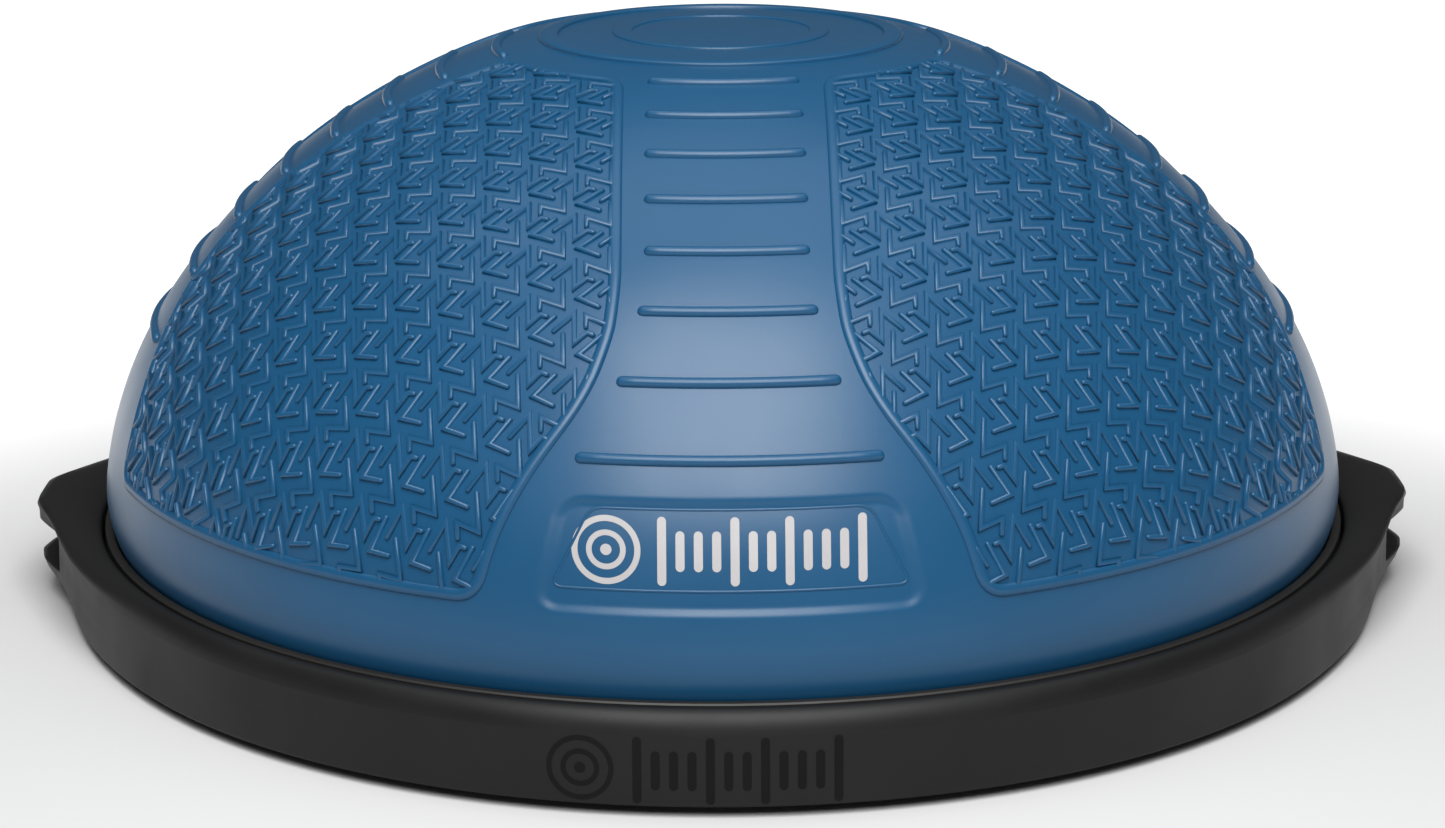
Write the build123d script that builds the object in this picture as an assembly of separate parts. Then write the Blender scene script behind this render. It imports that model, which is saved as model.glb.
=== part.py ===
"""Balance dome trainer: an inflated half-dome clamped to a rigid round platform with two carrying ears.

Millimetres. +Z is up and Z = 0 is the floor under the anti-slip ring. The origin is on the dome's
axis. +X points to the right-hand ear, and the badge on the dome faces -Y.
"""

from build123d import *

import math
import os

# ---------------------------------------------------------------- driving dimensions

PLATFORM_RADIUS = 320.0  # rim at its foot, without the ears
SHOULDER_RADIUS = 318.6  # rim wall just under its rounded shoulder
SHOULDER_HEIGHT = 36.5
RIM_TOP = 46.0
RIM_INNER_RADIUS = 309.5  # outer wall of the visible groove
RIM_FOOT = 5.0  # the rim stops this far above the floor
RIM_WALL = 4.0

DECK_BOTTOM = 26.0
DECK_TOP = 30.0
PLATE_BOTTOM = 4.0
PLATE_TOP = 8.0
PLATE_RADIUS = 313.0

DOME_TOP = 281.6
DOME_JOINT_HEIGHT = 46.5  # where the dome disappears behind the clamp ring
DOME_JOINT_RADIUS = 303.0
DOME_WALL = 4.0
DOME_FOOT_TANGENT = (-0.36, 0, -1)
LIP_TOP = 34.0
LIP_RADIUS = 307.5
FOOT_RADIUS = 299.5  # outside of the bladder's wall where it meets its lip
FLOOR_THICKNESS = 2.5

TREAD_RADIUS = 2.4  # half-round treads cross each of the four smooth lanes
LANES = 4

EAR_TIP = 346.0  # top edge of the ear
EAR_TIP_FOOT = 331.0  # bottom edge of the ear
EAR_BULGE = 344.0  # the ear's lower lip, at EAR_BULGE_HEIGHT
EAR_BULGE_HEIGHT = 18.0
EAR_TIP_HALF_WIDTH = 16.0
EAR_TOP = 52.5
EAR_BLEND_ANGLE = 30.0  # the ear leaves the round rim at this angle either side of X
SLOT_LOW = 20.0
SLOT_HIGH = 39.5
SLOT_INNER = 324.0  # back wall of the finger slot
SLOT_HALF_TOP = 44.0
SLOT_HALF_BOTTOM = 40.0

CLAMP_SCREWS = 24
CLAMP_SCREW_CIRCLE = 304.2
PLATE_SCREWS = 12
PLATE_SCREW_CIRCLE = 262.0
RIB_CIRCLES = (60.0, 140.0, 220.0, 284.0)
RIB_THICKNESS = 3.0
RADIAL_RIBS = 12

VALVE_Y = 180.0  # the valve opens downwards, towards the back of the platform
VALVE_BORE = 4.75
PLUG_CLEARANCE = 0.05
VALVE_TUBE = 9.0
VALVE_TUBE_END = 14.0
BEZEL_RADIUS = 19.8

# Radius and height of the inflated dome from crown to rim. The crown is nearly flat and the
# widest point stands a little above the clamp ring.
DOME_OUTLINE = (
    (0.0, DOME_TOP),
    (49.8, 280.8),
    (86.7, 278.8),
    (123.4, 270.0),
    (159.5, 253.7),
    (195.7, 232.1),
    (230.9, 203.7),
    (263.1, 167.8),
    (289.9, 124.3),
    (304.8, 76.0),
    (306.0, 61.0),
    (DOME_JOINT_RADIUS, DOME_JOINT_HEIGHT),
)
# Radius, height and overall length of each tread, from the crown down.
TREADS = (
    (109.1, 274.6, 70.0),
    (136.7, 264.6, 72.0),
    (162.8, 252.0, 72.5),
    (188.4, 237.0, 72.5),
    (213.0, 219.4, 72.5),
    (236.5, 198.4, 78.0),
    (259.2, 172.9, 96.0),
    (279.0, 144.3, 131.0),
)
CROWN_RINGS = ((80.0, 88.0), (40.0, 48.0))  # raised target rings on the crown
CROWN_RING_HEIGHT = 1.4
CROWN_FALL = 2.8  # the crown's drop from its centre to CROWN_FALL_RADIUS
CROWN_FALL_RADIUS = 86.7


# ---------------------------------------------------------------- helpers


def turned(*points):
    """A solid turned about Z from the closed outline of (radius, height) points."""
    outline = Polyline(*[(r, 0, z) for r, z in points], close=True)
    return revolve(make_face(outline), Axis.Z)


def tube(outer, inner, low, high):
    """A round tube or washer about Z."""
    return turned((inner, low), (outer, low), (outer, high), (inner, high))


def disc(radius, low, high):
    """A round plate or rod about Z."""
    return Pos(0, 0, (low + high) / 2) * Cylinder(radius, high - low)


def round_places(count, radius, first_angle=0.0):
    """Places evenly spread on a circle."""
    for index in range(count):
        angle = math.radians(first_angle + 360.0 * index / count)
        yield Pos(radius * math.cos(angle), radius * math.sin(angle), 0)


def one_solid(shape):
    """The largest solid of a shape, with any coplanar seams cleaned away."""
    return max(shape.clean().solids(), key=lambda solid: solid.volume)


# ---------------------------------------------------------------- platform


def rim_profile():
    """Deck and rim in one moulding: flat deck, channel for the bladder's lip, rounded rim, skirt."""
    inner_top = (RIM_INNER_RADIUS, 0, RIM_TOP)
    crest = (RIM_INNER_RADIUS + 1.5, 0, RIM_TOP + 0.3)
    slope_end = (SHOULDER_RADIUS - 2.0, 0, SHOULDER_HEIGHT + 4.5)
    shoulder = (SHOULDER_RADIUS, 0, SHOULDER_HEIGHT)
    with BuildLine() as line:
        Line((0, 0, DECK_BOTTOM), (0, 0, DECK_TOP))
        Line((0, 0, DECK_TOP), (RIM_INNER_RADIUS, 0, DECK_TOP))
        Line((RIM_INNER_RADIUS, 0, DECK_TOP), inner_top)
        Line(inner_top, crest)
        ThreePointArc(crest, (RIM_INNER_RADIUS + 5.0, 0, RIM_TOP - 1.2), slope_end)
        ThreePointArc(slope_end, (SHOULDER_RADIUS - 0.6, 0, SHOULDER_HEIGHT + 2.4), shoulder)
        Line(shoulder, (PLATFORM_RADIUS, 0, RIM_FOOT + 1.5))
        Line((PLATFORM_RADIUS, 0, RIM_FOOT + 1.5), (PLATFORM_RADIUS - 1.5, 0, RIM_FOOT))
        Line((PLATFORM_RADIUS - 1.5, 0, RIM_FOOT), (PLATFORM_RADIUS - RIM_WALL, 0, RIM_FOOT))
        Line((PLATFORM_RADIUS - RIM_WALL, 0, RIM_FOOT), (SHOULDER_RADIUS - RIM_WALL, 0, DECK_BOTTOM))
        Line((SHOULDER_RADIUS - RIM_WALL, 0, DECK_BOTTOM), (0, 0, DECK_BOTTOM))
    return make_face(line.line)


def ear_section(rim_radius, tip, height):
    """Plan outline of one ear at a height: two long arcs off the rim, and a blunt tip."""
    blend = math.radians(EAR_BLEND_ANGLE)
    cos_blend = math.cos(blend)
    sin_blend = math.sin(blend)
    half = EAR_TIP_HALF_WIDTH
    # Centre distance of the long arc that is tangent to the rim and passes through the tip corner.
    gap = (tip**2 + half**2 - rim_radius**2) / (
        2 * (rim_radius - tip * cos_blend - half * sin_blend)
    )
    centre = (-gap * cos_blend, -gap * sin_blend)
    long_radius = rim_radius + gap
    start = (rim_radius * cos_blend, rim_radius * sin_blend)
    corner = (tip, half)
    chord_x = (start[0] + corner[0]) / 2 - centre[0]
    chord_y = (start[1] + corner[1]) / 2 - centre[1]
    reach = long_radius / math.hypot(chord_x, chord_y)
    middle = (centre[0] + chord_x * reach, centre[1] + chord_y * reach)
    root = 0.86 * start[0]
    with BuildLine(Plane.XY.offset(height)) as line:
        ThreePointArc(start, middle, corner)
        Line(corner, (tip, -half))
        ThreePointArc((tip, -half), (middle[0], -middle[1]), (start[0], -start[1]))
        Line((start[0], -start[1]), (root, -start[1] + 6))
        Line((root, -start[1] + 6), (root, start[1] - 6))
        Line((root, start[1] - 6), start)
    return make_face(line.line)


def ear():
    """The right-hand ear: flared block, dished top, and a finger slot under its top lip."""
    block = loft([
        ear_section(PLATFORM_RADIUS, EAR_TIP_FOOT, RIM_FOOT),
        ear_section(SHOULDER_RADIUS + 1.2, EAR_BULGE, EAR_BULGE_HEIGHT),
        ear_section(SHOULDER_RADIUS, EAR_TIP, EAR_TOP + 4),
    ], ruled=True)
    corners = block.edges().filter_by(
        lambda edge: edge.center().X > EAR_TIP_FOOT and abs(edge.tangent_at(0.5).Z) > 0.8
    )
    block = fillet(corners, 9)
    crest_radius = 166.0  # the top falls away towards the rim on both sides
    crest_x = 335.0
    crown = Pos(crest_x, 0, EAR_TOP - crest_radius) * Rot(90, 0, 0) * Cylinder(crest_radius, 600)
    dish = turned(
        (0, 0), (400, 0), (400, RIM_TOP + 0.4 * (400 - 304)), (RIM_INNER_RADIUS + 1, RIM_TOP), (0, RIM_TOP)
    )
    block = one_solid(block & crown & dish)
    inside = disc(RIM_INNER_RADIUS + 2, 0, 60)
    half_wall = RIM_WALL / 2
    under_deck = turned(
        (0, 0), (PLATFORM_RADIUS - half_wall, 0), (SHOULDER_RADIUS - half_wall, DECK_BOTTOM), (0, DECK_BOTTOM)
    )
    block = one_solid(block - inside - under_deck)
    with BuildLine(Plane.YZ) as line:
        Polyline(
            (-SLOT_HALF_BOTTOM, SLOT_LOW),
            (SLOT_HALF_BOTTOM, SLOT_LOW),
            (SLOT_HALF_TOP, SLOT_HIGH),
            (-SLOT_HALF_TOP, SLOT_HIGH),
            close=True,
        )
    slot = extrude(Pos(SLOT_INNER, 0, 0) * make_face(line.line), 60, dir=(1, 0, 0))
    slot = fillet(slot.edges().filter_by(Axis.X), 6)
    return one_solid(block - slot)


def platform_shell():
    """Deck, rim, ears, stiffening ribs and screw bosses, moulded as one piece."""
    body = revolve(rim_profile(), Axis.Z)
    for radius in RIB_CIRCLES:
        half = RIB_THICKNESS / 2
        body += tube(radius + half, radius - half, PLATE_TOP, DECK_BOTTOM + 1)
    first, last = RIB_CIRCLES[0], RIB_CIRCLES[-1]
    rib_height = DECK_BOTTOM + 1 - PLATE_TOP
    rib = Pos((first + last) / 2, 0, PLATE_TOP + rib_height / 2) * Box(last - first, RIB_THICKNESS, rib_height)
    for index in range(RADIAL_RIBS):
        body += Rot(0, 0, 360 / RADIAL_RIBS * (index + 0.5)) * rib
    for place in round_places(PLATE_SCREWS, PLATE_SCREW_CIRCLE):
        body += place * disc(5, PLATE_TOP, DECK_BOTTOM + 1)
    right = ear()
    body += right
    body += Rot(0, 0, 180) * right
    for place in round_places(PLATE_SCREWS, PLATE_SCREW_CIRCLE):
        body -= place * disc(1.6, PLATE_TOP, 22)
    for place in round_places(CLAMP_SCREWS, CLAMP_SCREW_CIRCLE, 7.5):
        body -= place * disc(2.0, DECK_BOTTOM - 1, DECK_TOP + 1)
    body -= Pos(0, VALVE_Y, 0) * disc(12, 0, DECK_TOP + 1)
    return one_solid(body)


def bottom_plate():
    """Flat standing surface that closes the ribbed underside."""
    plate = disc(PLATE_RADIUS, PLATE_BOTTOM, PLATE_TOP)
    plate -= tube(300.4, 285.6, 0, PLATE_BOTTOM + 1.0)
    plate -= Pos(0, VALVE_Y, 0) * disc(BEZEL_RADIUS + 0.1, 0, 20)
    for place in round_places(PLATE_SCREWS, PLATE_SCREW_CIRCLE):
        plate -= place * disc(2.0, 0, 20)
        plate -= place * disc(4.2, 0, PLATE_BOTTOM + 2.4)
    return one_solid(plate)


def sole_ring():
    """Rubber anti-slip ring, set in a shallow groove of the bottom plate."""
    return one_solid(turned(
        (286, 1.2), (287.2, 0), (298.8, 0), (300, 1.2), (300, PLATE_BOTTOM + 1), (286, PLATE_BOTTOM + 1)
    ))


# ---------------------------------------------------------------- bladder


def dome_line(inset):
    """The dome's outline as a spline, moved inwards by the wall thickness where inset is set."""
    outer = Spline(
        *[(r, 0, z) for r, z in DOME_OUTLINE], tangents=[(1, 0, 0), DOME_FOOT_TANGENT]
    )
    if not inset:
        return outer
    shifted = []
    steps = 10
    for step in range(steps + 1):
        point = outer @ (step / steps)
        along = outer % (step / steps)
        shifted.append((max(point.X + along.Z * inset, 0.0), 0, point.Z - along.X * inset))
    return Spline(*shifted, tangents=[(1, 0, 0), DOME_FOOT_TANGENT])


def dome_solid():
    """Moulded shell of the dome with its clamped lip."""
    outer = dome_line(0)
    inner = dome_line(DOME_WALL)
    inner_foot = FOOT_RADIUS - DOME_WALL
    rest = Polyline(
        outer @ 1,
        (FOOT_RADIUS, 0, LIP_TOP + 2),
        (FOOT_RADIUS, 0, LIP_TOP),
        (LIP_RADIUS, 0, LIP_TOP),
        (LIP_RADIUS, 0, DECK_TOP),
        (inner_foot, 0, DECK_TOP),
        (inner_foot, 0, LIP_TOP + 2),
        inner @ 1,
    )
    axis_line = Line(inner @ 0, outer @ 0)
    return revolve(make_face([outer, rest, inner, axis_line]), Axis.Z)


def tread(radius, height, length):
    """One half-round tread on a latitude of the dome, centred on -Y."""
    half_angle = math.degrees(math.asin(length / 2 / radius))
    section = Plane.XZ * Pos(radius, height, 0) * Circle(TREAD_RADIUS)
    return Rot(0, 0, -90 - half_angle) * revolve(section, Axis.Z, 2 * half_angle)


def dome_bladder():
    """The dome with four lanes of treads and two raised rings on its crown."""
    dome = dome_solid()
    treads = []
    for lane in range(LANES):
        for radius, height, length in TREADS:
            treads.append(Rot(0, 0, 360 / LANES * lane) * tread(radius, height, length))
    dome = dome.fuse(*treads)
    for inner, outer in CROWN_RINGS:
        level = DOME_TOP - CROWN_FALL * (outer / CROWN_FALL_RADIUS) ** 2
        dome += tube(outer, inner, level - 2, level + CROWN_RING_HEIGHT)
    for place in round_places(CLAMP_SCREWS, CLAMP_SCREW_CIRCLE, 7.5):
        dome -= place * disc(2.0, DECK_TOP - 1, LIP_TOP + 1)
    return one_solid(dome)


def bladder_floor():
    """Flat membrane welded inside the foot of the dome."""
    sheet = disc(FOOT_RADIUS - DOME_WALL, DECK_TOP, DECK_TOP + FLOOR_THICKNESS)
    return one_solid(sheet - Pos(0, VALVE_Y, 0) * disc(VALVE_TUBE, 0, 60))


def valve_patch():
    """Reinforcing disc welded round the valve on the inside of the floor."""
    low = DECK_TOP + FLOOR_THICKNESS
    return one_solid(Pos(0, VALVE_Y, 0) * tube(32, VALVE_TUBE, low, low + 2))


def valve_seat():
    """Flanged tube through the floor and the deck that the plug pushes into."""
    low = DECK_TOP + FLOOR_THICKNESS + 2
    shape = turned(
        (VALVE_BORE, VALVE_TUBE_END),
        (VALVE_TUBE - 1, VALVE_TUBE_END),
        (VALVE_TUBE, VALVE_TUBE_END + 1),
        (VALVE_TUBE, low),
        (20, low),
        (20, low + 2),
        (VALVE_BORE, low + 2),
    )
    return one_solid(Pos(0, VALVE_Y, 0) * shape)


def valve_plug():
    """Push-in plug with a grooved flange and a pull tab."""
    radius = VALVE_BORE - PLUG_CLEARANCE
    shape = turned(
        (0, 11.5), (8, 11.5), (9, 12.3), (9, VALVE_TUBE_END), (radius, VALVE_TUBE_END),
        (radius, 32), (radius - 1.5, 35), (0, 35),
    )
    shape += Pos(0, 0, 9) * Box(12, 3, 6)
    return one_solid(Pos(0, VALVE_Y, 0) * shape)


def valve_bezel():
    """Flanged collar that lines the valve's opening in the bottom plate."""
    shape = turned(
        (17.5, 3), (23, 3), (24, 3.5), (24, PLATE_BOTTOM), (BEZEL_RADIUS, PLATE_BOTTOM),
        (BEZEL_RADIUS, 12), (17.5, 12),
    )
    return one_solid(Pos(0, VALVE_Y, 0) * shape)


def retaining_ring():
    """Clamp ring over the bladder's lip: the thin band seen between the dome and the rim."""
    outer = RIM_INNER_RADIUS - 1.7
    ring = turned(
        (FOOT_RADIUS + 0.5, LIP_TOP),
        (outer, LIP_TOP),
        (outer, DOME_JOINT_HEIGHT - 0.6),
        (outer - 0.7, DOME_JOINT_HEIGHT + 0.1),
        (DOME_JOINT_RADIUS + 1.0, DOME_JOINT_HEIGHT + 0.1),
        (DOME_JOINT_RADIUS + 0.7, DOME_JOINT_HEIGHT - 0.6),
        (FOOT_RADIUS + 0.5, LIP_TOP + 1.5),
    )
    for place in round_places(CLAMP_SCREWS, CLAMP_SCREW_CIRCLE, 7.5):
        ring -= place * disc(1.5, LIP_TOP - 1, 41)
    return one_solid(ring)


# ---------------------------------------------------------------- fasteners


def clamp_screws():
    """Pan-head screws up through the deck and the lip into the clamp ring."""
    screw = disc(3.5, DECK_BOTTOM - 2.5, DECK_BOTTOM) + disc(1.5, DECK_BOTTOM - 0.1, 40)
    screw -= Pos(0, 0, DECK_BOTTOM - 2.5) * Box(4, 0.9, 2.4)
    screw -= Pos(0, 0, DECK_BOTTOM - 2.5) * Box(0.9, 4, 2.4)
    return [place * one_solid(screw) for place in round_places(CLAMP_SCREWS, CLAMP_SCREW_CIRCLE, 7.5)]


def plate_screws():
    """Recessed screws that hold the bottom plate to the bosses."""
    low = PLATE_BOTTOM + 0.3
    screw = disc(3.9, low, PLATE_BOTTOM + 2.4) + disc(1.6, PLATE_BOTTOM + 2.3, 20)
    screw -= Pos(0, 0, low) * Box(4.4, 1.0, 2.4)
    screw -= Pos(0, 0, low) * Box(1.0, 4.4, 2.4)
    return [place * one_solid(screw) for place in round_places(PLATE_SCREWS, PLATE_SCREW_CIRCLE)]


# ---------------------------------------------------------------- write the parts

PARTS = (
    platform_shell,
    bottom_plate,
    sole_ring,
    dome_bladder,
    bladder_floor,
    valve_patch,
    valve_seat,
    valve_plug,
    valve_bezel,
    retaining_ring,
    clamp_screws,
    plate_screws,
)


def main():
    os.makedirs("parts", exist_ok=True)
    for make in PARTS:
        shape = make()
        if isinstance(shape, list):
            shape = Compound(children=shape)
        shape.label = make.__name__
        export_step(shape, f"parts/{make.__name__}.step")


main()
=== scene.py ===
"""Looks of the balance dome trainer: moulded blue vinyl dome on a matt black platform.

Metres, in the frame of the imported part. Places on the dome are given as s, the distance in
millimetres down its surface from the crown, and azimuth, in degrees from -Y towards +X.
"""

import math

import bpy
import numpy as np
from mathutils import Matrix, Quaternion, Vector


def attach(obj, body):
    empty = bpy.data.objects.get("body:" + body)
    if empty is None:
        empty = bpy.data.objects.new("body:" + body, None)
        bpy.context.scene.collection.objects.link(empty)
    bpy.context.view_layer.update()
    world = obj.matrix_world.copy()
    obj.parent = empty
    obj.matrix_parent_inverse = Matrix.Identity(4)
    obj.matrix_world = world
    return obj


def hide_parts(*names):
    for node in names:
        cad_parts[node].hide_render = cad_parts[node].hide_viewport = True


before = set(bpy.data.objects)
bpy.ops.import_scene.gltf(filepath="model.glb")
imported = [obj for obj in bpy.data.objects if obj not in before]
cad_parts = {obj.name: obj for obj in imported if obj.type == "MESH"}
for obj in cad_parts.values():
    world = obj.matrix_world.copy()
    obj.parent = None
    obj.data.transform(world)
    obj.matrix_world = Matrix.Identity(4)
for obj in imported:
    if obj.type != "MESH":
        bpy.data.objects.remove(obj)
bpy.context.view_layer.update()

MM = 0.001
BODY = "trainer"

# ---------------------------------------------------------------- driving values

# Radius and height of the inflated dome from crown to clamp ring, close to the CAD part's.
DOME_OUTLINE = (
    (0.0, 281.6), (49.8, 280.8), (86.7, 278.8), (105.2, 275.7), (123.4, 270.0), (159.5, 253.7),
    (195.7, 232.1), (230.9, 203.7), (263.1, 167.8), (289.9, 124.3), (304.8, 76.0), (306.0, 61.0),
    (303.0, 46.5),
)
LIP_OUTLINE = ((299.8, 38.0), (299.5, 34.0), (307.5, 34.0), (307.5, 30.0), (295.5, 30.0))
WALL = 4.0

# Half-width of a smooth lane, at distances down the dome, to the middle of its border bead.
LANE_S = (100.0, 245.0, 270.0, 293.0, 309.0, 332.0, 350.0, 366.0, 391.0)
LANE_HALF_WIDTH = (48.5, 48.5, 51.0, 58.5, 67.0, 83.0, 93.5, 101.0, 108.5)
FIELD_TOP = 111.0
FIELD_BOTTOM = 391.0
EDGE_SMOOTHING = 15  # samples in the window that rounds the lane's width table
FIELD_CORNERS = (7.0, 9.0, 9.0, 7.0)  # where the border bead's rounding starts, from each corner
BEAD_HALF = 2.9
BEAD_HEIGHT = 1.7

# Distance down the dome and overall length of each tread.
TREADS = (
    (109.8, 70.0), (139.1, 72.0), (168.0, 72.5), (197.7, 72.5),
    (227.9, 72.5), (259.4, 78.0), (293.5, 96.0), (328.4, 131.0),
)
TREAD_RADIUS = 2.6
TREAD_SUNK = 0.4

# One cell of the grip texture, on a 60 degree lattice of unit pitch.
STROKES = (
    ((0.25, -0.433), (0.0, 0.0), (0.445, 0.0)),
    ((-0.642, -0.20), (-0.417, -0.590), (-0.162, -0.148), (-0.022, -0.390), (0.10, -0.39)),
    ((0.056, -1.078), (0.311, -0.636), (-0.196, -0.636), (-0.096, -0.463)),
)
PITCH = 22.52
FLAT_AZIMUTH = -31.76  # the texture's rows run level here
FLAT_ORIGIN = (4.47, 273.98)
FLAT_RADIUS = (275.6, 71.79, -8.67, -1.37)  # cubic in (s - 322) / 100
STROKE_HALF = 1.15
STROKE_HEIGHT = 1.7

BADGE_TOP = 346.5
BADGE_BOTTOM = 392.5
BADGE_HALF_TOP = 70.5
BADGE_HALF_BOTTOM = 82.0
BADGE_DEPTH = 1.3
BADGE_CORNER = 9.0
BADGE_SLOPE = 5.0  # width of the recess's soft edge
BADGE_PRINT_S = 366.7
PRINT_LIFT = 0.12
WALL_PRINT_LIFT = 0.1

BAR_HALF_WIDTH = 1.9
BAR_STEP = 7.7
WALL_PRINT_HEIGHT = 21.0
TALL_BAR = 14.6  # half-heights of the level marks
SHORT_BAR = 8.6
TALL_BARS = (0, 4, 7, 11)
BAR_COUNT = 12

CROWN_RINGS = ((84.0, 2.0), (48.0, 1.1))  # distance down the dome, and height
CROWN_RING_HALF = 4.8

# Platform: plain rim section as (radius, height), and the ear's section on the X axis.
RIM_INNER = 309.5
DRUM_FOOT = 320.0
DRUM_SHOULDER = 318.6
DRUM_FOOT_HEIGHT = 5.0
SHOULDER_HEIGHT = 36.5
EAR_TIP = 344.8
EAR_FOOT_TIP = 331.0
SLOT_TOP = 39.5
RIM_TOP_SECTION = (
    (309.5, 36.0), (309.5, 45.4), (309.85, 46.0), (310.7, 46.3), (311.9, 46.1), (313.2, 45.6),
    (314.5, 44.7), (315.7, 43.4), (316.7, 41.9), (317.5, 40.2), (318.1, 38.4), (318.5, 36.6),
)
EAR_TOP_SECTION = (
    (309.5, 36.0), (309.5, 45.4), (310.0, 46.1), (312.0, 46.8), (316.0, 48.0), (321.0, 49.3), (327.0, 50.7),
    (333.0, 51.7), (338.5, 52.0), (342.2, 50.8), (344.2, 48.0), (344.8, 44.8),
)
# Below the top: height, and how far the wall point is drawn back into the finger slot.
WALL_ROWS = (
    (41.5, 0.0), (40.0, 0.0), (39.5, 0.15), (39.3, 0.5), (39.0, 0.9), (37.5, 1.0), (34.0, 1.0), (30.0, 1.0),
    (26.0, 1.0), (22.5, 1.0), (20.8, 0.9), (20.4, 0.5), (20.2, 0.15), (19.6, 0.0), (18.0, 0.0), (15.0, 0.0),
    (12.5, 0.0), (10.0, 0.0), (8.0, 0.0), (6.5, 0.0), (5.3, 0.0),
)
# Height and reach of the ear's outer wall on the X axis.
EAR_WALL = (
    (5.0, 330.8), (5.3, 332.0), (6.5, 334.0), (8.0, 335.8), (10.0, 338.0), (12.5, 340.4), (15.0, 342.3),
    (18.0, 343.6), (21.0, 344.8), (50.0, 344.8),
)
SLOT_BACK = 324.0
# Underside of the rim and the deck's outer annulus, as (radius, height).
DECK_EDGE = (
    (316.0, 5.0), (315.0, 9.0), (314.6, 26.0), (206.0, 26.0), (206.0, 30.0), (309.5, 30.0),
)
SLOT_END = (5.6, 7.6)  # the slot's depth fades between these angles from the X axis
# Share of the ear's reach at angles from the X axis: at its top, under its lip, at the slot's
# floor and at its foot. ROOF is the share of its height.
EAR_ANGLES = (0.0, 2.6, 4.6, 6.5, 8.9, 12.0, 15.6, 20.0, 25.0, 30.0, 36.0)
LIP_REACH = (1.0, 1.0, 0.90, 0.75, 0.61, 0.50, 0.40, 0.26, 0.12, 0.03, 0.0)
UNDER_REACH = (1.0, 0.90, 0.70, 0.50, 0.41, 0.32, 0.24, 0.15, 0.07, 0.02, 0.0)
FLOOR_REACH = (1.0, 0.88, 0.70, 0.52, 0.38, 0.27, 0.19, 0.11, 0.05, 0.01, 0.0)
FOOT_REACH = (1.0, 0.88, 0.68, 0.54, 0.42, 0.33, 0.26, 0.17, 0.08, 0.02, 0.0)
ROOF = (1.0, 0.97, 0.90, 0.80, 0.66, 0.45, 0.24, 0.08, 0.01, 0.0, 0.0)

FLOOR_SPAN = 14.0
PAINTED_LIGHT_CENTRE = (0.0, -0.35, 0.0)  # painted light: the floor glows brighter with distance from here, though it is no lamp
# Painted light: the floor's own emission, none near the trainer and white far off, stands in for lamplight on
# the far floor.
PAINTED_LIGHT_START = 0.5
PAINTED_LIGHT_END = 1.05
PAINTED_LIGHT_STRENGTH = 0.9
WORLD_STRENGTH = 0.11
CAMERA_PLACE = (-0.0180, -1.6616, 0.5517)
CAMERA_TARGET = (0.0, 0.0, 0.08697)
CAMERA_LENS = 85.57
CAMERA_ROLL = -0.262  # degrees

# ---------------------------------------------------------------- the dome's surface


def clamped_spline(t, y, first_slope, last_slope):
    """Values and slopes of a cubic spline through y with given slopes at its two ends."""
    count = len(t)
    step = np.diff(t)
    system = np.zeros((count, count))
    right = np.zeros(count)
    system[0, 0] = 1
    system[-1, -1] = 1
    right[0] = first_slope
    right[-1] = last_slope
    for k in range(1, count - 1):
        system[k, k - 1] = 1 / step[k - 1]
        system[k, k] = 2 / step[k - 1] + 2 / step[k]
        system[k, k + 1] = 1 / step[k]
        right[k] = 3 * ((y[k] - y[k - 1]) / step[k - 1] ** 2 + (y[k + 1] - y[k]) / step[k] ** 2)
    slope = np.linalg.solve(system, right)

    def value(x):
        k = np.clip(np.searchsorted(t, x) - 1, 0, count - 2)
        u = (x - t[k]) / step[k]
        h = step[k]
        return (
            (1 + 2 * u) * (1 - u) ** 2 * y[k] + u * (1 - u) ** 2 * h * slope[k]
            + u**2 * (3 - 2 * u) * y[k + 1] + u**2 * (u - 1) * h * slope[k + 1]
        )

    return value


outline = np.array(DOME_OUTLINE)
chord = np.concatenate([[0], np.cumsum(np.hypot(*np.diff(outline, axis=0).T))])
fine = np.linspace(0, chord[-1], 3000)
fine_r = clamped_spline(chord, outline[:, 0], 1.0, -0.34)(fine)
fine_z = clamped_spline(chord, outline[:, 1], 0.0, -0.94)(fine)
fine_s = np.concatenate([[0], np.cumsum(np.hypot(np.diff(fine_r), np.diff(fine_z)))])
fine_tilt = np.arctan2(np.gradient(fine_r), -np.gradient(fine_z))  # the normal's elevation
DOME_LENGTH = fine_s[-1]


def dome_radius(s):
    return np.interp(s, fine_s, fine_r)


def dome_points(s, azimuth, lift=0.0):
    """Points on the dome, and its outward normals there, in metres."""
    angle = np.radians(azimuth)
    tilt = np.interp(s, fine_s, fine_tilt)
    radius = np.interp(s, fine_s, fine_r)
    height = np.interp(s, fine_s, fine_z)
    outward = np.stack([np.sin(angle), -np.cos(angle), 0 * angle], -1)
    normal = outward * np.cos(tilt)[..., None]
    normal[..., 2] = np.sin(tilt)
    place = outward * np.asarray(radius)[..., None]
    place[..., 2] = height
    return (place + normal * np.asarray(lift)[..., None]) * MM, normal


def smooth_step(x):
    x = np.clip(x, 0, 1)
    return x * x * (3 - 2 * x)


def badge_half_width(s):
    share = (s - BADGE_TOP) / (BADGE_BOTTOM - BADGE_TOP)
    return BADGE_HALF_TOP + (BADGE_HALF_BOTTOM - BADGE_HALF_TOP) * share


def relief(s, azimuth):
    """How far the surface stands off the plain dome: the badge's soft-edged recess."""
    x = dome_radius(s) * np.sin(np.radians(azimuth))
    front = np.cos(np.radians(azimuth)) > 0
    dx = np.abs(x) - badge_half_width(s) + BADGE_CORNER
    dy = np.maximum(BADGE_TOP - s, s - BADGE_BOTTOM) + BADGE_CORNER
    outside = np.hypot(np.maximum(dx, 0), np.maximum(dy, 0))
    distance = outside + np.minimum(np.maximum(dx, dy), 0) - BADGE_CORNER
    return -BADGE_DEPTH * smooth_step(-distance / BADGE_SLOPE + 0.5) * front


# ---------------------------------------------------------------- mesh helpers


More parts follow.
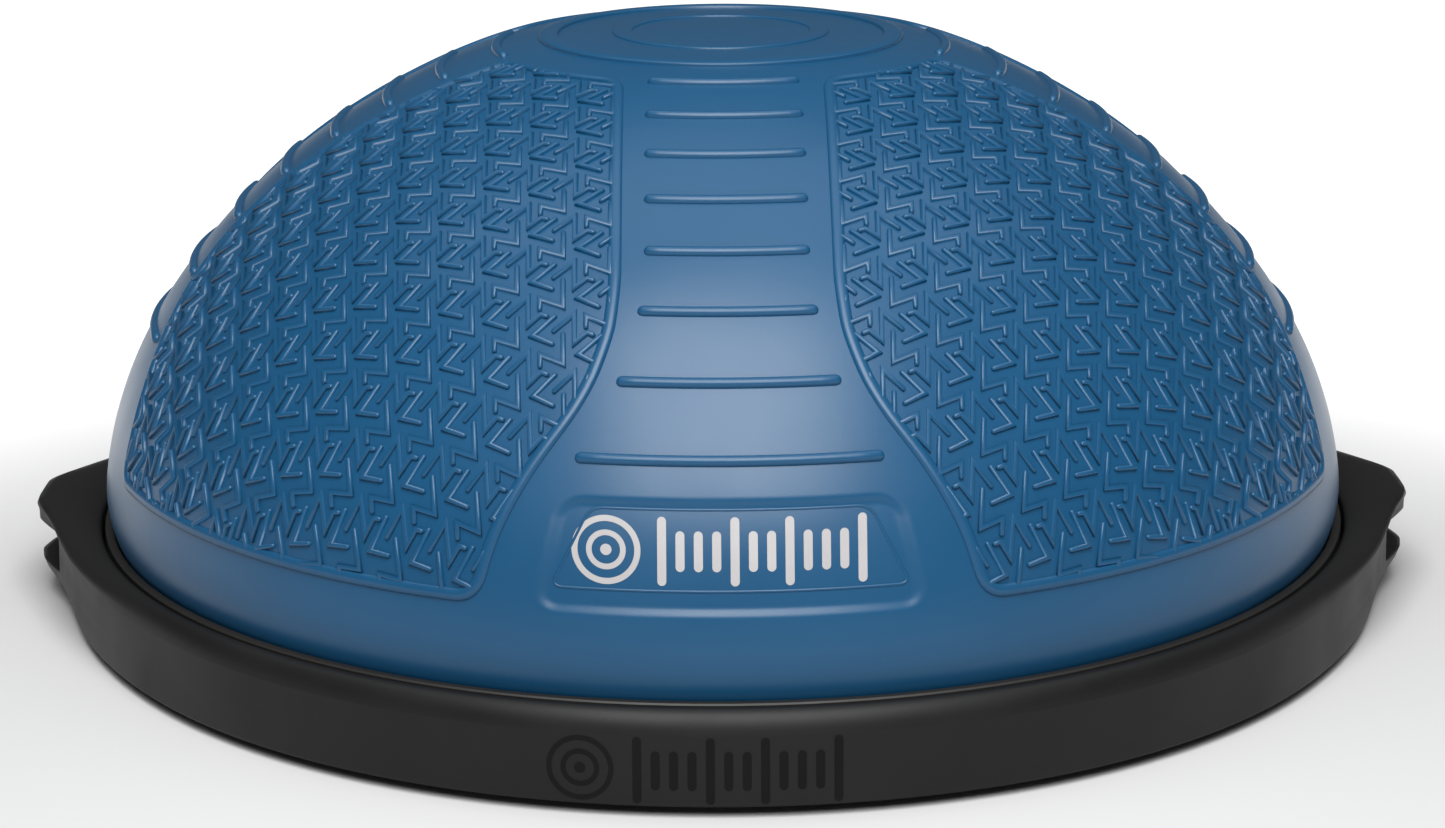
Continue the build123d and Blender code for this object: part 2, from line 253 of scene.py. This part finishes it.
def add_mesh(name, vertices, faces, paint):
    mesh = bpy.data.meshes.new(name)
    mesh.from_pydata([tuple(v) for v in vertices], [], faces)
    mesh.validate()
    mesh.polygons.foreach_set("use_smooth", [True] * len(mesh.polygons))
    mesh.materials.append(paint)
    mesh.update()
    piece = bpy.data.objects.new(name, mesh)
    bpy.context.scene.collection.objects.link(piece)
    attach(piece, BODY)
    return piece


def grid_faces(rows, columns, closed_rows, closed_columns, start=0):
    faces = []
    for i in range(rows if closed_rows else rows - 1):
        for j in range(columns if closed_columns else columns - 1):
            a = start + i * columns + j
            b = start + i * columns + (j + 1) % columns
            c = start + (i + 1) % rows * columns + (j + 1) % columns
            d = start + (i + 1) % rows * columns + j
            faces.append((a, d, c, b))
    return faces


def sweep(points, normals, profile, closed):
    """Vertices and faces of a ridge along points that lie on the dome, with mitred corners.

    Profile is (across, up) in millimetres. Ends of an open ridge are rounded off.
    """
    points = np.asarray(points)
    normals = np.asarray(normals)
    count = len(points)
    step = np.roll(points, -1, 0) - points
    step /= np.linalg.norm(step, axis=1)[:, None] + 1e-12
    if closed:
        before = np.roll(step, 1, 0)
        after = step
    else:
        before = np.concatenate([step[:1], step[: count - 1]])
        after = np.concatenate([step[: count - 1], step[count - 2 : count - 1]])
    side_before = np.cross(before, normals)
    side_after = np.cross(after, normals)
    mitre = side_before + side_after
    mitre /= np.linalg.norm(mitre, axis=1)[:, None]
    reach = np.clip(1 / np.maximum((mitre * side_after).sum(1), 0.1), 1, 2.4)
    across = mitre * reach[:, None]
    scale = np.ones(count)
    if not closed:
        half = max(abs(x) for x, _ in profile) * MM
        turns = np.radians([86, 62, 34])
        first = [points[0] - before[0] * half * math.sin(a) for a in turns]
        last = [points[-1] + after[-1] * half * math.sin(a) for a in turns[::-1]]
        points = np.concatenate([first, points, last])
        normals = np.concatenate([[normals[0]] * 3, normals, [normals[-1]] * 3])
        across = np.concatenate([[across[0]] * 3, across, [across[-1]] * 3])
        scale = np.concatenate([np.cos(turns), scale, np.cos(turns[::-1])])
    low = min(y for _, y in profile)
    rows = []
    for place, normal, sideways, size in zip(points, normals, across, scale):
        for x, y in profile:
            up = low + (y - low) * size
            rows.append(place + sideways * x * size * MM + normal * up * MM)
    return rows, grid_faces(len(points), len(profile), closed, False)


def merge(parts):
    """One list of vertices and faces from several."""
    vertices = []
    faces = []
    for more, more_faces in parts:
        start = len(vertices)
        vertices.extend(more)
        faces.extend(tuple(i + start for i in face) for face in more_faces)
    return vertices, faces


def bell(half, height, sunk, sharp=0.55, count=9):
    """Half-round section of a moulded ridge: flat-topped when sharp is small."""
    section = []
    for k in range(count):
        turn = math.pi * k / (count - 1)
        x = -math.cos(turn)
        y = math.sin(turn) ** sharp
        section.append((x * half, -sunk + (height + sunk) * y))
    return tuple(section)


# ---------------------------------------------------------------- materials


def new_material(name):
    paint = bpy.data.materials.new(name)
    paint.use_nodes = True
    tree = paint.node_tree
    shader = next(n for n in tree.nodes if n.type == "BSDF_PRINCIPLED")
    return paint, tree, shader


def noise(tree, vector, scale, detail=2.0, roughness=0.5):
    node = tree.nodes.new("ShaderNodeTexNoise")
    node.inputs["Scale"].default_value = scale
    node.inputs["Detail"].default_value = detail
    node.inputs["Roughness"].default_value = roughness
    tree.links.new(vector, node.inputs["Vector"])
    return node.outputs["Fac"]


def between(tree, factor, low, high):
    node = tree.nodes.new("ShaderNodeMapRange")
    node.inputs["From Min"].default_value = 0.3
    node.inputs["From Max"].default_value = 0.7
    node.inputs["To Min"].default_value = low
    node.inputs["To Max"].default_value = high
    tree.links.new(factor, node.inputs["Value"])
    return node.outputs["Result"]


def mixed(tree, factor, low, high):
    node = tree.nodes.new("ShaderNodeMix")
    node.data_type = "RGBA"
    node.inputs["A"].default_value = (*low, 1)
    node.inputs["B"].default_value = (*high, 1)
    tree.links.new(factor, node.inputs["Factor"])
    return node.outputs["Result"]


def bump(tree, shader, *layers):
    """Stacks bump layers of (height, strength, distance in metres) on a shader."""
    last = None
    for height, strength, distance in layers:
        node = tree.nodes.new("ShaderNodeBump")
        node.inputs["Strength"].default_value = strength
        node.inputs["Distance"].default_value = distance
        tree.links.new(height, node.inputs["Height"])
        if last:
            tree.links.new(last, node.inputs["Normal"])
        last = node.outputs["Normal"]
    tree.links.new(last, shader.inputs["Normal"])


def moulded(name, low, high, rough, patch, grain, grain_depth, specular):
    """A moulded plastic, vinyl or rubber: faint patches of colour, varied gloss and a fine grain."""
    paint, tree, shader = new_material(name)
    where = tree.nodes.new("ShaderNodeTexCoord").outputs["Object"]
    patches = noise(tree, where, patch, 4.0, 0.6)
    tree.links.new(mixed(tree, between(tree, patches, 0, 1), low, high), shader.inputs["Base Color"])
    gloss = noise(tree, where, patch * 2.3, 3.0, 0.55)
    tree.links.new(between(tree, gloss, rough[0], rough[1]), shader.inputs["Roughness"])
    shader.inputs["Specular IOR Level"].default_value = specular
    fine_grain = noise(tree, where, grain, 3.0, 0.6)
    waves = noise(tree, where, 9.0, 1.0, 0.4)
    bump(tree, shader, (waves, 0.25, 0.002), (fine_grain, 0.5, grain_depth))
    return paint


def zinc(name):
    paint, tree, shader = new_material(name)
    where = tree.nodes.new("ShaderNodeTexCoord").outputs["Object"]
    patches = noise(tree, where, 400.0, 2.0, 0.5)
    tree.links.new(
        mixed(tree, between(tree, patches, 0, 1), (0.42, 0.42, 0.43), (0.58, 0.58, 0.57)),
        shader.inputs["Base Color"],
    )
    tree.links.new(between(tree, patches, 0.28, 0.45), shader.inputs["Roughness"])
    shader.inputs["Metallic"].default_value = 1.0
    bump(tree, shader, (noise(tree, where, 1500.0), 0.3, 0.0001))
    return paint


vinyl = moulded(
    "vinyl_blue", (0.0054, 0.059, 0.138), (0.0064, 0.066, 0.152), (0.31, 0.38), 6.0, 900.0, 0.00006, 0.40
)
vinyl_inner = moulded(
    "vinyl_inner", (0.030, 0.110, 0.240), (0.036, 0.120, 0.260), (0.45, 0.55), 8.0, 700.0, 0.00008, 0.4
)
print_ink = moulded(
    "print_ink", (0.36, 0.35, 0.355), (0.40, 0.39, 0.395), (0.5, 0.6), 40.0, 1500.0, 0.00003, 0.3
)
wall_ink = moulded(
    "wall_ink", (0.0030, 0.0030, 0.0031), (0.0040, 0.0040, 0.0041), (0.3, 0.4), 40.0, 1500.0, 0.00003, 0.14
)
base_black = moulded(
    "base_black", (0.0052, 0.0052, 0.0053), (0.0070, 0.0070, 0.0071), (0.44, 0.56), 7.0, 1300.0, 0.00008, 0.28
)
ring_black = moulded(
    "ring_black", (0.012, 0.011, 0.010), (0.016, 0.015, 0.014), (0.45, 0.55), 9.0, 1200.0, 0.00006, 0.4
)
plate_black = moulded(
    "plate_black", (0.014, 0.014, 0.015), (0.019, 0.019, 0.020), (0.5, 0.65), 12.0, 420.0, 0.0004, 0.4
)
sole_rubber = moulded(
    "sole_rubber", (0.008, 0.008, 0.008), (0.014, 0.014, 0.013), (0.7, 0.85), 30.0, 600.0, 0.0003, 0.3
)
valve_rubber = moulded(
    "valve_rubber", (0.012, 0.012, 0.013), (0.018, 0.018, 0.019), (0.4, 0.5), 60.0, 900.0, 0.00008, 0.4
)
bezel_plastic = moulded(
    "bezel_plastic", (0.02, 0.02, 0.021), (0.028, 0.028, 0.029), (0.35, 0.45), 50.0, 900.0, 0.00006, 0.5
)
screw_zinc = zinc("screw_zinc")

NODE_PAINT = {
    "platform_shell": base_black,
    "bottom_plate": plate_black,
    "sole_ring": sole_rubber,
    "bladder_floor": vinyl_inner,
    "valve_patch": vinyl_inner,
    "valve_seat": valve_rubber,
    "valve_plug": valve_rubber,
    "valve_bezel": bezel_plastic,
    "retaining_ring": ring_black,
    "clamp_screws": screw_zinc,
    "plate_screws": screw_zinc,
    "dome_bladder": vinyl,
}
for node_name, paint in NODE_PAINT.items():
    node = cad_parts[node_name]
    node.data.materials.clear()
    node.data.materials.append(paint)

# ---------------------------------------------------------------- dome


def dome_skin():
    """The moulded skin from crown to lip, closed by its inner face, with the badge's recess."""
    s = np.concatenate([
        np.linspace(0, 335, 166), np.linspace(336, 403, 75), np.linspace(404.5, DOME_LENGTH, 22)
    ])
    azimuth = np.concatenate([np.linspace(-19, 19, 112), np.linspace(19, 341, 216)[1:-1]])
    grid_s, grid_a = np.meshgrid(s, azimuth, indexing="ij")
    outer, _ = dome_points(grid_s, grid_a, relief(grid_s, grid_a))
    outer[0] = outer[0].mean(0)
    vertices = [*outer.reshape(-1, 3)]
    rows = len(s)
    angle = np.radians(azimuth)
    for radius, height in LIP_OUTLINE:
        ring = np.stack([radius * np.sin(angle), -radius * np.cos(angle), 0 * angle + height], -1)
        vertices.extend(ring * MM)
        rows += 1
    for inner_s in np.linspace(DOME_LENGTH - 8, 0, 10):
        ring, _ = dome_points(0 * azimuth + inner_s, azimuth, 0 * azimuth - WALL)
        vertices.extend(ring)
        rows += 1
    faces = grid_faces(rows, len(azimuth), False, True)
    skin = add_mesh("dome_skin", vertices, faces, vinyl)
    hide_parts("dome_bladder")
    return skin


def lane_half_width(s):
    return np.interp(s, LANE_S, LANE_HALF_WIDTH)


smooth_s = np.linspace(FIELD_TOP, FIELD_BOTTOM, 141)
kernel = np.hanning(EDGE_SMOOTHING)
kernel /= kernel.sum()
margin_count = EDGE_SMOOTHING // 2
padded = np.concatenate([
    [lane_half_width(FIELD_TOP)] * margin_count,
    lane_half_width(smooth_s),
    [LANE_HALF_WIDTH[-1]] * margin_count,
])
smooth_width = np.convolve(padded, kernel, "valid")


def lane_edge(s):
    """Azimuth of the middle of the front lane's right-hand border bead."""
    return np.degrees(np.arcsin(np.interp(s, smooth_s, smooth_width) / dome_radius(s)))


def field_outline():
    """(s, azimuth) round the front-right grip field, with rounded corners."""
    down = np.linspace(FIELD_TOP, FIELD_BOTTOM, 130)
    edge = lane_edge(down)
    bottom = np.linspace(edge[-1], 90 - edge[-1], 80)[1:-1]
    top = np.linspace(90 - edge[0], edge[0], 36)[1:-1]
    s = np.concatenate([down, 0 * bottom + FIELD_BOTTOM, down[::-1], 0 * top + FIELD_TOP])
    azimuth = np.concatenate([edge, bottom, (90 - edge)[::-1], top])
    radius = dome_radius(s)
    place = np.stack([s, np.radians(azimuth) * radius], -1)
    corners = (0, len(down) - 1, len(down) + len(bottom), 2 * len(down) + len(bottom) - 1)
    gaps = np.hypot(*(np.roll(place, -1, 0) - place).T)
    keep = np.ones(len(s), bool)
    extra = {}
    for corner, size in zip(corners, FIELD_CORNERS):
        back = corner
        length = 0.0
        while length < size:
            back = (back - 1) % len(s)
            length += gaps[back]
        ahead = corner
        length = 0.0
        while length < size:
            length += gaps[ahead]
            ahead = (ahead + 1) % len(s)
        walk = (back + 1) % len(s)
        while walk != ahead:
            keep[walk] = False
            walk = (walk + 1) % len(s)
        curve = []
        for t in np.linspace(0, 1, 7)[1:-1]:
            weights = ((1 - t) ** 2, 2 * t * (1 - t), t * t)
            anchors = [np.array([s[k], azimuth[k]]) for k in (back, corner, ahead)]
            curve.append(sum(w * anchor for w, anchor in zip(weights, anchors)))
        extra[back] = curve
    rounded = []
    for k in range(len(s)):
        if keep[k]:
            rounded.append((s[k], azimuth[k]))
        rounded.extend(extra.get(k, ()))
    return np.array(rounded)


def flat_to_dome(x, y):
    """Distance down the dome and azimuth of a place in the grip texture's flat plan."""
    s = np.linspace(60, DOME_LENGTH, 900)
    t = (s - 322) / 100
    a, b, c, d = FLAT_RADIUS
    flat_radius = a + b * t + c * t**2 + d * t**3
    place = np.interp(np.hypot(x, y), flat_radius, s)
    return place, FLAT_AZIMUTH + np.degrees(np.arctan2(x, y))


def inside_field(s, azimuth, margin):
    """True inside the front-left grip field, less a margin in millimetres."""
    edge = lane_edge(np.clip(s, FIELD_TOP, FIELD_BOTTOM))
    slack = np.degrees(margin / dome_radius(s))
    left = -azimuth
    return (
        (s > FIELD_TOP + margin) & (s < FIELD_BOTTOM - margin)
        & (left > edge + slack) & (left < 90 - edge - slack)
    )


def field_strokes():
    """Stroke lines of the front-left field as lists of (s, azimuth), cut at its border."""
    lines = []
    for row in range(-15, 9):
        for column in range(-18, 19):
            for stroke in STROKES:
                corners = []
                for u, v in stroke:
                    x = FLAT_ORIGIN[0] + PITCH * (column + 0.5 * row + u)
                    y = FLAT_ORIGIN[1] + PITCH * (math.sqrt(0.75) * row + v)
                    corners.append((x, y))
                current = []
                for (x0, y0), (x1, y1) in zip(corners, corners[1:]):
                    share = np.linspace(0, 1, 12)
                    s, azimuth = flat_to_dome(x0 + (x1 - x0) * share, y0 + (y1 - y0) * share)
                    good = inside_field(s, azimuth, 1.0)
                    if not good.any():
                        current = []
                        continue
                    start = int(np.argmax(good))
                    stop = start
                    while stop < 11 and good[stop + 1]:
                        stop += 1
                    if start > 0 or not current:
                        current = [(s[start], azimuth[start])]
                        lines.append(current)
                    if stop - start > 1:
                        current.append((s[stop], azimuth[stop]))
                    if stop < 11:
                        current = []
    return [line for line in lines if len(line) > 1]


def turned_about(points, quarter_turns):
    """Points turned about Z by quarter turns."""
    points = np.asarray(points)
    for _ in range(quarter_turns):
        points = np.stack([-points[:, 1], points[:, 0], points[:, 2]], -1)
    return points


def grip_fields():
    """Four textured fields: moulded strokes inside a round border bead."""
    strokes = field_strokes()
    section = bell(STROKE_HALF, STROKE_HEIGHT, 0.35, 0.45)
    border = field_outline()
    bead_section = bell(BEAD_HALF, BEAD_HEIGHT, 0.5, 0.8, 11)
    for name, mirror, turns in (
        ("front_left", 1, 0), ("front_right", -1, 0), ("back_right", 1, 2), ("back_left", -1, 2)
    ):
        parts = []
        for line in strokes:
            s, azimuth = np.array(line).T
            points, normals = dome_points(s, azimuth * mirror)
            rows, faces = sweep(points, normals, section, False)
            parts.append((turned_about(rows, turns), faces))
        vertices, faces = merge(parts)
        add_mesh("grip_texture_" + name, vertices, faces, vinyl)
        s, azimuth = border.T
        points, normals = dome_points(s, -azimuth * mirror)
        rows, faces = sweep(points, normals, bead_section, True)
        add_mesh("border_bead_" + name, turned_about(rows, turns), faces, vinyl)


def lane_treads():
    """Eight round treads across each of the four smooth lanes."""
    section = tuple(
        (-TREAD_RADIUS * math.cos(a), -TREAD_SUNK + TREAD_RADIUS * math.sin(a))
        for a in np.radians(np.linspace(-8, 188, 13))
    )
    for lane in range(4):
        parts = []
        for s, length in TREADS:
            half = math.degrees(math.asin((length / 2 - TREAD_RADIUS) / dome_radius(s)))
            azimuth = np.linspace(-half, half, 15)
            points, normals = dome_points(0 * azimuth + s, azimuth)
            rows, faces = sweep(points, normals, section, False)
            parts.append((turned_about(rows, lane), faces))
        vertices, faces = merge(parts)
        add_mesh(f"lane_treads_{lane}", vertices, faces, vinyl)


def crown_rings():
    """Two raised target rings on the crown."""
    for index, (s, height) in enumerate(CROWN_RINGS):
        azimuth = np.linspace(0, 360, 160, endpoint=False)
        points, normals = dome_points(0 * azimuth + s, azimuth)
        rows, faces = sweep(points, normals, bell(CROWN_RING_HALF, height, 0.4, 0.35, 17), True)
        add_mesh(f"crown_ring_{index}", rows, faces, vinyl)


# ---------------------------------------------------------------- platform


def smooth_table(angle, values):
    """A table over EAR_ANGLES read along a smooth monotone curve."""
    fine_angle = np.linspace(-2, 40, 421)
    rough = np.interp(np.abs(fine_angle), EAR_ANGLES, values)
    window = np.hanning(25)
    curve = np.convolve(rough, window / window.sum(), "same")
    return np.interp(angle, fine_angle[15:-15], curve[15:-15])


def platform_skin():
    """Rim, wall, ears and finger slots as one moulding, closed under the deck's edge."""
    quarter = np.concatenate([np.linspace(0, 12, 61), np.linspace(12, 90, 79)[1:]])
    half = np.concatenate([quarter, 180 - quarter[::-1][1:]])
    angle = np.concatenate([half, -half[::-1][1:-1]])
    off = np.minimum(np.abs(angle), 180 - np.abs(angle))
    lip, under, low, foot, roof = (
        smooth_table(off, table) for table in (LIP_REACH, UNDER_REACH, FLOOR_REACH, FOOT_REACH, ROOF)
    )
    # Keeps the middle of the ear's tip straight.
    square = (1 / np.cos(np.radians(np.minimum(off, EAR_ANGLES[1]))) - 1) * lip
    rows = []
    for (plain_r, plain_z), (ear_r, ear_z) in zip(RIM_TOP_SECTION, EAR_TOP_SECTION):
        outer = smooth_step((ear_r - RIM_INNER) / (EAR_TIP - RIM_INNER))
        tuck = smooth_step((51.0 - ear_z) / 7.0) * (ear_r > 340)
        reach = lip + (under - lip) * tuck
        radius = plain_r + (ear_r - plain_r) * reach
        rows.append((radius * (1 + square * outer), plain_z + (ear_z - plain_z) * roof))
    depth = 1 - smooth_step((off - SLOT_END[0]) / (SLOT_END[1] - SLOT_END[0]))
    wall_z, wall_r = np.array(EAR_WALL).T
    wall_top = SHOULDER_HEIGHT - 0.6
    for height, drawn in WALL_ROWS:
        if height < 40:
            share = (height - DRUM_FOOT_HEIGHT) / (SLOT_TOP - DRUM_FOOT_HEIGHT)
            plain_z = DRUM_FOOT_HEIGHT + (wall_top - DRUM_FOOT_HEIGHT) * share
        else:
            plain_z = wall_top + (height - SLOT_TOP) * 0.12
        z = height * roof + plain_z * (1 - roof)
        up = np.clip((height - 30) / 10, 0, 1)
        down = np.clip((height - DRUM_FOOT_HEIGHT) / 15, 0, 1)
        reach = low + (under - low) * up if height > 20 else foot + (low - foot) * down
        taper = (DRUM_SHOULDER - DRUM_FOOT) * (z - DRUM_FOOT_HEIGHT)
        plain = DRUM_FOOT + taper / (wall_top - DRUM_FOOT_HEIGHT)
        full = (plain + (np.interp(height, wall_z, wall_r) - plain) * reach) * (1 + square)
        back = np.minimum(SLOT_BACK / np.cos(np.radians(off)), full)
        rows.append((full + (back - full) * drawn * depth, z))
    foot_r = DRUM_FOOT - 0.8 + (EAR_FOOT_TIP - DRUM_FOOT) * foot
    rows.append((foot_r * (1 + square), DRUM_FOOT_HEIGHT + 0 * off))
    for radius, height in DECK_EDGE:
        rows.append((radius + 0 * off, height + 0 * off))
    turn = np.radians(angle)
    vertices = []
    for radius, height in rows:
        vertices.extend(np.stack([radius * np.cos(turn), radius * np.sin(turn), height], -1) * MM)
    faces = [face[::-1] for face in grid_faces(len(rows), len(angle), True, True)]
    skin = add_mesh("platform_skin", vertices, faces, base_black)
    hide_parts("platform_shell")


# ---------------------------------------------------------------- badge


def badge_place(x, s):
    """Point and normal on the recessed badge, at x across the front."""
    azimuth = np.degrees(np.arcsin(x / dome_radius(s)))
    return dome_points(s, azimuth, relief(s, azimuth) + PRINT_LIFT)


def wall_place(x, height):
    """Point on the front of the platform's wall, at x across and height above the wall's middle."""
    height = np.asarray(height) + WALL_PRINT_HEIGHT
    share = (height - DRUM_FOOT_HEIGHT) / (SHOULDER_HEIGHT - DRUM_FOOT_HEIGHT)
    radius = DRUM_FOOT + (DRUM_SHOULDER - DRUM_FOOT) * share + WALL_PRINT_LIFT
    return np.stack([x, -np.sqrt(radius**2 - x**2), height], -1) * MM


def printed_marks(place, emblem_x, bars_x, rings, bars):
    """A target of rings and a row of rounded bars, laid on a surface by place(x, y)."""
    parts = []
    turn = np.linspace(0, 2 * math.pi, 72, endpoint=False)
    for inner, outer in rings:
        radius, angle = np.meshgrid([outer, inner], turn, indexing="ij")
        points = place(emblem_x + radius * np.cos(angle), radius * np.sin(angle))
        parts.append((points.reshape(-1, 3), grid_faces(2, len(turn), False, True)))
    for index, half_height in enumerate(bars):
        half = BAR_HALF_WIDTH
        y = np.concatenate([
            -half_height + half - half * np.cos(np.linspace(0.1, math.pi / 2, 6)),
            np.linspace(-half_height + half, half_height - half, 12)[1:-1],
            half_height - half + half * np.sin(np.linspace(0, math.pi / 2 - 0.1, 6)),
        ])
        beyond = np.maximum(np.abs(y) - half_height + half, 0)
        width = np.sqrt(np.maximum(half**2 - beyond**2, 0.0))
        across = bars_x + BAR_STEP * index + np.outer([-1, -0.3, 0.3, 1], width)
        points = place(across, np.broadcast_to(y, across.shape))
        parts.append((points.reshape(-1, 3), grid_faces(4, len(y), False, False)))
    return merge(parts)


def printed():
    """Generic print: a target and level marks, light on the badge and dark on the platform's wall."""
    bars = [TALL_BAR if k in TALL_BARS else SHORT_BAR for k in range(BAR_COUNT)]

    def on_badge(x, y):
        return badge_place(x, BADGE_PRINT_S - y)[0]

    vertices, faces = printed_marks(on_badge, -52.5, -29.0, ((12.0, 14.6), (6.0, 8.4), (0.01, 2.4)), bars)
    add_mesh("badge_print", vertices, faces, print_ink)
    vertices, faces = printed_marks(wall_place, -64.0, -40.0, ((12.0, 14.2), (6.0, 8.2), (0.01, 2.4)), bars)
    add_mesh("platform_print", vertices, faces, wall_ink)


def badge_line():
    """Fine raised line round the print."""
    corners = ((-59.0, 349.0), (59.0, 349.0), (76.0, 383.5), (-76.0, 383.5))
    radii = (6.0, 6.0, 5.0, 5.0)
    ring = []
    for k, (x, s) in enumerate(corners):
        here = np.array([x, s])
        back = np.array(corners[k - 1]) - here
        ahead = np.array(corners[(k + 1) % 4]) - here
        start = here + back / np.linalg.norm(back) * radii[k]
        stop = here + ahead / np.linalg.norm(ahead) * radii[k]
        for t in np.linspace(0, 1, 8):
            ring.append((1 - t) ** 2 * start + 2 * t * (1 - t) * here + t * t * stop)
        following = np.array(corners[(k + 1) % 4])
        far = following - ahead / np.linalg.norm(ahead) * radii[(k + 1) % 4]
        for t in np.linspace(0, 1, 30)[1:-1]:
            ring.append(stop + (far - stop) * t)
    ring = np.array(ring)
    points, normals = badge_place(ring[:, 0], ring[:, 1])
    rows, faces = sweep(points, normals, bell(0.7, 0.35, 0.4, 0.8, 7), True)
    add_mesh("badge_line", rows, faces, vinyl)


dome_skin()
platform_skin()
grip_fields()
lane_treads()
crown_rings()
badge_line()
printed()

# ---------------------------------------------------------------- floor, light and camera


def studio():
    span = FLOOR_SPAN
    floor_mesh = bpy.data.meshes.new("studio_floor")
    floor_mesh.from_pydata(
        [(-span, -span, 0), (span, -span, 0), (span, span, 0), (-span, span, 0)], [], [(0, 1, 2, 3)]
    )
    floor = bpy.data.objects.new("studio_floor", floor_mesh)
    bpy.context.scene.collection.objects.link(floor)
    paint, tree, shader = new_material("studio_floor")
    where = tree.nodes.new("ShaderNodeTexCoord").outputs["Object"]
    tree.links.new(
        mixed(tree, noise(tree, where, 1.5), (0.56, 0.56, 0.56), (0.58, 0.58, 0.58)),
        shader.inputs["Base Color"],
    )
    shader.inputs["Roughness"].default_value = 0.9
    shader.inputs["Specular IOR Level"].default_value = 0.1
    # Painted light: the floor glows by its own emission, nothing beside the trainer and brighter with
    # distance, in place of light from the lamps.
    shader.inputs["Emission Color"].default_value = (1, 1, 1, 1)
    offset = tree.nodes.new("ShaderNodeVectorMath")
    offset.operation = "SUBTRACT"
    offset.inputs[1].default_value = PAINTED_LIGHT_CENTRE
    tree.links.new(where, offset.inputs[0])
    distance = tree.nodes.new("ShaderNodeVectorMath")
    distance.operation = "LENGTH"
    tree.links.new(offset.outputs["Vector"], distance.inputs[0])
    painted_light = tree.nodes.new("ShaderNodeMapRange")
    painted_light.interpolation_type = "SMOOTHSTEP"
    painted_light.inputs["From Min"].default_value = PAINTED_LIGHT_START
    painted_light.inputs["From Max"].default_value = PAINTED_LIGHT_END
    painted_light.inputs["To Max"].default_value = PAINTED_LIGHT_STRENGTH
    tree.links.new(distance.outputs["Value"], painted_light.inputs["Value"])
    tree.links.new(painted_light.outputs["Result"], shader.inputs["Emission Strength"])
    floor_mesh.materials.append(paint)

    world = bpy.data.worlds.new("studio")
    world.use_nodes = True
    world.node_tree.nodes["Background"].inputs["Color"].default_value = (1.0, 1.0, 1.0, 1)
    world.node_tree.nodes["Background"].inputs["Strength"].default_value = WORLD_STRENGTH
    bpy.context.scene.world = world


def area_light(name, place, target, size, power):
    data = bpy.data.lights.new(name, "AREA")
    data.shape = "RECTANGLE"
    data.size, data.size_y = size
    data.energy = power
    light = bpy.data.objects.new(name, data)
    light.location = place
    light.rotation_euler = (Vector(target) - Vector(place)).to_track_quat("-Z", "Y").to_euler()
    bpy.context.scene.collection.objects.link(light)


def camera():
    data = bpy.data.cameras.new("camera")
    data.lens = CAMERA_LENS
    data.sensor_width = 36.0
    data.clip_start = 0.05
    data.clip_end = 60.0
    view = bpy.data.objects.new("camera", data)
    place = Vector(CAMERA_PLACE)
    target = Vector(CAMERA_TARGET)
    view.rotation_mode = "QUATERNION"
    view.location = place
    aim = (target - place).to_track_quat("-Z", "Y")
    view.rotation_quaternion = aim @ Quaternion((0, 0, 1), math.radians(CAMERA_ROLL))
    bpy.context.scene.collection.objects.link(view)
    bpy.context.scene.camera = view


studio()
area_light("front_key", (0.0, -1.30, 1.70), (0, -0.2, 0.17), (1.3, 1.7), 66.0)
area_light("top_soft", (0.0, 0.3, 2.2), (0, 0, 0.2), (3.2, 1.0), 15.0)
camera()
bpy.context.scene.view_settings.view_transform = "Standard"
